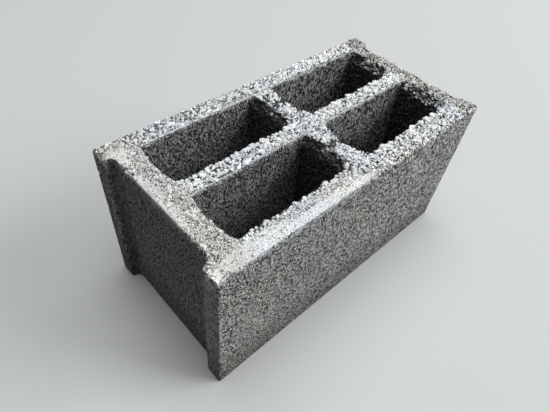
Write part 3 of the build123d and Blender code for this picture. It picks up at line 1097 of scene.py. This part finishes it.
def scatter_grains(kind, share, seed):
    """Scatters lumps of one kind of grit over its share of the open texture."""
    density = put(grit_tree, "ShaderNodeMath", {0: openness, 1: share}, operation="MULTIPLY")[0]
    scattered = put(grit_tree, "GeometryNodeDistributePointsOnFaces",
                    {"Mesh": asked["Geometry"], "Distance Min": asked[kind + " spacing"],
                     "Density Max": MOST_PER_SQUARE_METRE, "Density Factor": density, "Seed": seed},
                    distribute_method="POISSON")
    off_skin = scattered["Normal"]
    sinking = put(grit_tree, "ShaderNodeMath", {0: asked[kind + " sink"], 1: -1.0}, operation="MULTIPLY")[0]
    sunk = put(grit_tree, "ShaderNodeVectorMath", {0: off_skin, "Scale": sinking}, operation="SCALE")[0]
    points = put(grit_tree, "GeometryNodeSetPosition", {"Geometry": scattered["Points"], "Offset": sunk})[0]
    turn = put(grit_tree, "FunctionNodeRandomValue", {"Max": (FULL_TURN,) * 3, "Seed": seed + 1},
               data_type="FLOAT_VECTOR")[0]
    chance = put(grit_tree, "FunctionNodeRandomValue", {"Seed": seed + 2}, data_type="FLOAT")[1]
    chance = put(grit_tree, "ShaderNodeMath", {0: chance, 1: 2.0}, operation="POWER")[0]
    size = put(grit_tree, "ShaderNodeMix", {"Factor": chance, "A": asked[kind + " smallest"],
                                            "B": asked[kind + " largest"]})["Result"]
    bead = put(grit_tree, "ShaderNodeMath", {0: skin_has["beads"], 1: BEAD_GROWTH, 2: 1.0},
               operation="MULTIPLY_ADD")[0]
    size = put(grit_tree, "ShaderNodeMath", {0: size, 1: bead}, operation="MULTIPLY")[0]
    stretch = put(grit_tree, "FunctionNodeRandomValue",
                  {"Min": (LEAST_STRETCH,) * 3, "Max": (MOST_STRETCH,) * 3, "Seed": seed + 3},
                  data_type="FLOAT_VECTOR")[0]
    stretch = put(grit_tree, "ShaderNodeVectorMath", {0: stretch, "Scale": size}, operation="SCALE")[0]
    away = put(grit_tree, "ShaderNodeMath", {0: 1.0, 1: size}, operation="DIVIDE")[0]
    away = put(grit_tree, "ShaderNodeVectorMath", {0: off_skin, "Scale": away}, operation="SCALE")[0]
    for name, value in {"away": away, "middle": here}.items():
        points = put(grit_tree, "GeometryNodeStoreNamedAttribute",
                     {"Geometry": points, "Name": name, "Value": value}, data_type="FLOAT_VECTOR")[0]
    lumps = put(grit_tree, "GeometryNodeInstanceOnPoints",
                {"Points": points, "Selection": this_half, "Instance": lump, "Rotation": turn,
                 "Scale": stretch})[0]
    lot = put(grit_tree, "FunctionNodeRandomValue", {2: 0.05, 3: 1.0, "Seed": seed + 4}, data_type="FLOAT")[1]
    return put(grit_tree, "GeometryNodeStoreNamedAttribute", {"Geometry": lumps, "Name": "lot", "Value": lot},
               data_type="FLOAT", domain="INSTANCE")[0]


fine_share = put(grit_tree, "ShaderNodeMapRange",
                 {"Value": skin_has["coarse"], "To Min": 1.0, "To Max": FINE_AMONG_COARSE})[0]
coarse_share = put(grit_tree, "ShaderNodeMapRange",
                   {"Value": skin_has["coarse"], "To Min": COARSE_AMONG_FINE, "To Max": 1.0})[0]
fine_lumps = scatter_grains("Fine", fine_share, GRIT_SEED)
coarse_lumps = scatter_grains("Coarse", coarse_share, GRIT_SEED + 10)
both = put(grit_tree, "GeometryNodeJoinGeometry", {"Geometry": fine_lumps})
grit_tree.links.new(coarse_lumps, both[0].node.inputs[0])
lumps = put(grit_tree, "GeometryNodeRealizeInstances", {"Geometry": both[0]})[0]
print("grain nodes, with both kinds:", len(grit_tree.nodes))

# %% [markdown]
# ## Grains: bend and hold
#
# A noise bends all the lumps so that no two are alike, which needs them realized first.
# They are held inside the block's bounds, each under a ceiling of its own, so that the
# tallest are flattened a little, as the tamper did, but not all to one level.

# %% Grain tree: bend and hold
BEND_PER_MM = 0.4

here_mm = put(grit_tree, "ShaderNodeVectorMath", {0: here, "Scale": 1 / MM}, operation="SCALE")[0]
bend = put(grit_tree, "ShaderNodeTexNoise", {"Vector": here_mm, "Scale": BEND_PER_MM, "Detail": 1.0})["Color"]
bend = put(grit_tree, "ShaderNodeVectorMath", {0: bend, 1: (0.5, 0.5, 0.5)}, operation="SUBTRACT")[0]
bend = put(grit_tree, "ShaderNodeVectorMath", {0: bend, "Scale": asked["Unevenness"]}, operation="SCALE")[0]
bent = put(grit_tree, "ShaderNodeVectorMath", {0: here, 1: bend}, operation="ADD")[0]
bent = put(grit_tree, "ShaderNodeVectorMath", {0: bent, 1: tuple(solid_low)}, operation="MAXIMUM")[0]
own_lot = put(grit_tree, "GeometryNodeInputNamedAttribute", {"Name": "lot"}, data_type="FLOAT")["Attribute"]
ceiling = put(grit_tree, "ShaderNodeMath", {0: own_lot, 1: asked["Ceiling"]}, operation="MULTIPLY")[0]
ceiling = put(grit_tree, "ShaderNodeMath", {0: solid_high.z, 1: ceiling}, operation="SUBTRACT")[0]
ceiling = put(grit_tree, "ShaderNodeCombineXYZ", {"X": solid_high.x, "Y": solid_high.y, "Z": ceiling})[0]
bent = put(grit_tree, "ShaderNodeVectorMath", {0: bent, 1: ceiling}, operation="MINIMUM")[0]
print("grain nodes, with the bend:", len(grit_tree.nodes))

# %% [markdown]
# ## Grains: what the material reads
#
# Each point keeps its place from before the bend, for the pattern, and how far out it
# stands from the middle of its grain, as a share of the grain's size.

# %% Grain tree: places, tips and output
carried = {}
for name in ("middle", "away"):
    carried[name] = put(grit_tree, "GeometryNodeInputNamedAttribute", {"Name": name},
                        data_type="FLOAT_VECTOR")["Attribute"]
tip = put(grit_tree, "ShaderNodeVectorMath", {0: here, 1: carried["middle"]}, operation="SUBTRACT")[0]
tip = put(grit_tree, "ShaderNodeVectorMath", {0: tip, 1: carried["away"]}, operation="DOT_PRODUCT")["Value"]
lumps = put(grit_tree, "GeometryNodeStoreNamedAttribute",
            {"Geometry": lumps, "Name": "place", "Value": here_mm}, data_type="FLOAT_VECTOR")[0]
lumps = put(grit_tree, "GeometryNodeStoreNamedAttribute",
            {"Geometry": lumps, "Name": "tip", "Value": tip}, data_type="FLOAT")[0]
lumps = put(grit_tree, "GeometryNodeSetPosition", {"Geometry": lumps, "Position": bent})[0]
lumps = put(grit_tree, "GeometryNodeSetMaterial", {"Geometry": lumps, "Material": concrete})[0]
put(grit_tree, "NodeGroupOutput", {0: lumps})
print("grain nodes in all:", len(grit_tree.nodes))

# %% [markdown]
# ## Grains: run the tree
#
# Near and far grains become two pieces, so that neither gets too heavy. The tree's Half
# input says which: it is set before the object is first evaluated.

# %% Grains, near and far
half_input = {item.name: item.identifier for item in grit_tree.interface.items_tree}["Half"]
pieces = []
for name, half_sign in {"near_grains": -1.0, "far_grains": 1.0}.items():
    grains = bpy.data.objects.new(name, skin.data)
    bpy.context.collection.objects.link(grains)
    scatter = grains.modifiers.new("scatter", "NODES")
    scatter.node_group = grit_tree
    scatter[half_input] = half_sign
    print(name, "faces:", settle(grains))
    pieces.append(grains)

# %% [markdown]
# ## Take the skin apart
#
# Ten surfaces come off the carved skin by their stored numbers. A small tree does it:
# its one input is the number to keep.

# %% Surfaces of the skin
taker = bpy.data.node_groups.new("take one surface", "GeometryNodeTree")
taker.interface.new_socket("Geometry", in_out="OUTPUT", socket_type="NodeSocketGeometry")
taker.interface.new_socket("Geometry", in_out="INPUT", socket_type="NodeSocketGeometry")
taker.interface.new_socket("Number", in_out="INPUT", socket_type="NodeSocketInt")
wanted = put(taker, "NodeGroupInput")
numbered = put(taker, "GeometryNodeInputNamedAttribute", {"Name": "surface"}, data_type="INT")["Attribute"]
same = put(taker, "FunctionNodeCompare", {2: numbered, 3: wanted["Number"]}, data_type="INT",
           operation="EQUAL")[0]
taken = put(taker, "GeometryNodeSeparateGeometry", {"Geometry": wanted["Geometry"], "Selection": same},
            domain="FACE")[0]
taken = put(taker, "GeometryNodeRealizeInstances", {"Geometry": taken})[0]
taken = put(taker, "GeometryNodeSetMaterial", {"Geometry": taken, "Material": concrete})[0]
put(taker, "NodeGroupOutput", {0: taken})
number_input = {item.name: item.identifier for item in taker.interface.items_tree}["Number"]

for number, name in enumerate(SURFACES):
    surface_piece = bpy.data.objects.new(name, skin.data)
    bpy.context.collection.objects.link(surface_piece)
    take = surface_piece.modifiers.new("take", "NODES")
    take.node_group = taker
    take[number_input] = number
    print(name, "faces:", settle(surface_piece))
    pieces.append(surface_piece)
bpy.data.objects.remove(skin)

# %% [markdown]
# ## Join them to the frame
#
# The surfaces are shaded smooth, so that the small faces of the grid don't show, and the
# loose grains flat, so that their facets do. Every piece rides on the block's one body,
# takes the place of its solid in the picture, and counts as concrete.

# %% Join to the frame
for piece in pieces:
    rounded = piece.name in SURFACES
    piece.data.polygons.foreach_set("use_smooth", [rounded] * len(piece.data.polygons))
    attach(piece, "root")
    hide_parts("hollow_block")
triangles = sum(len(polygon.vertices) - 2 for piece in pieces for polygon in piece.data.polygons)
print("triangles in all:", triangles)
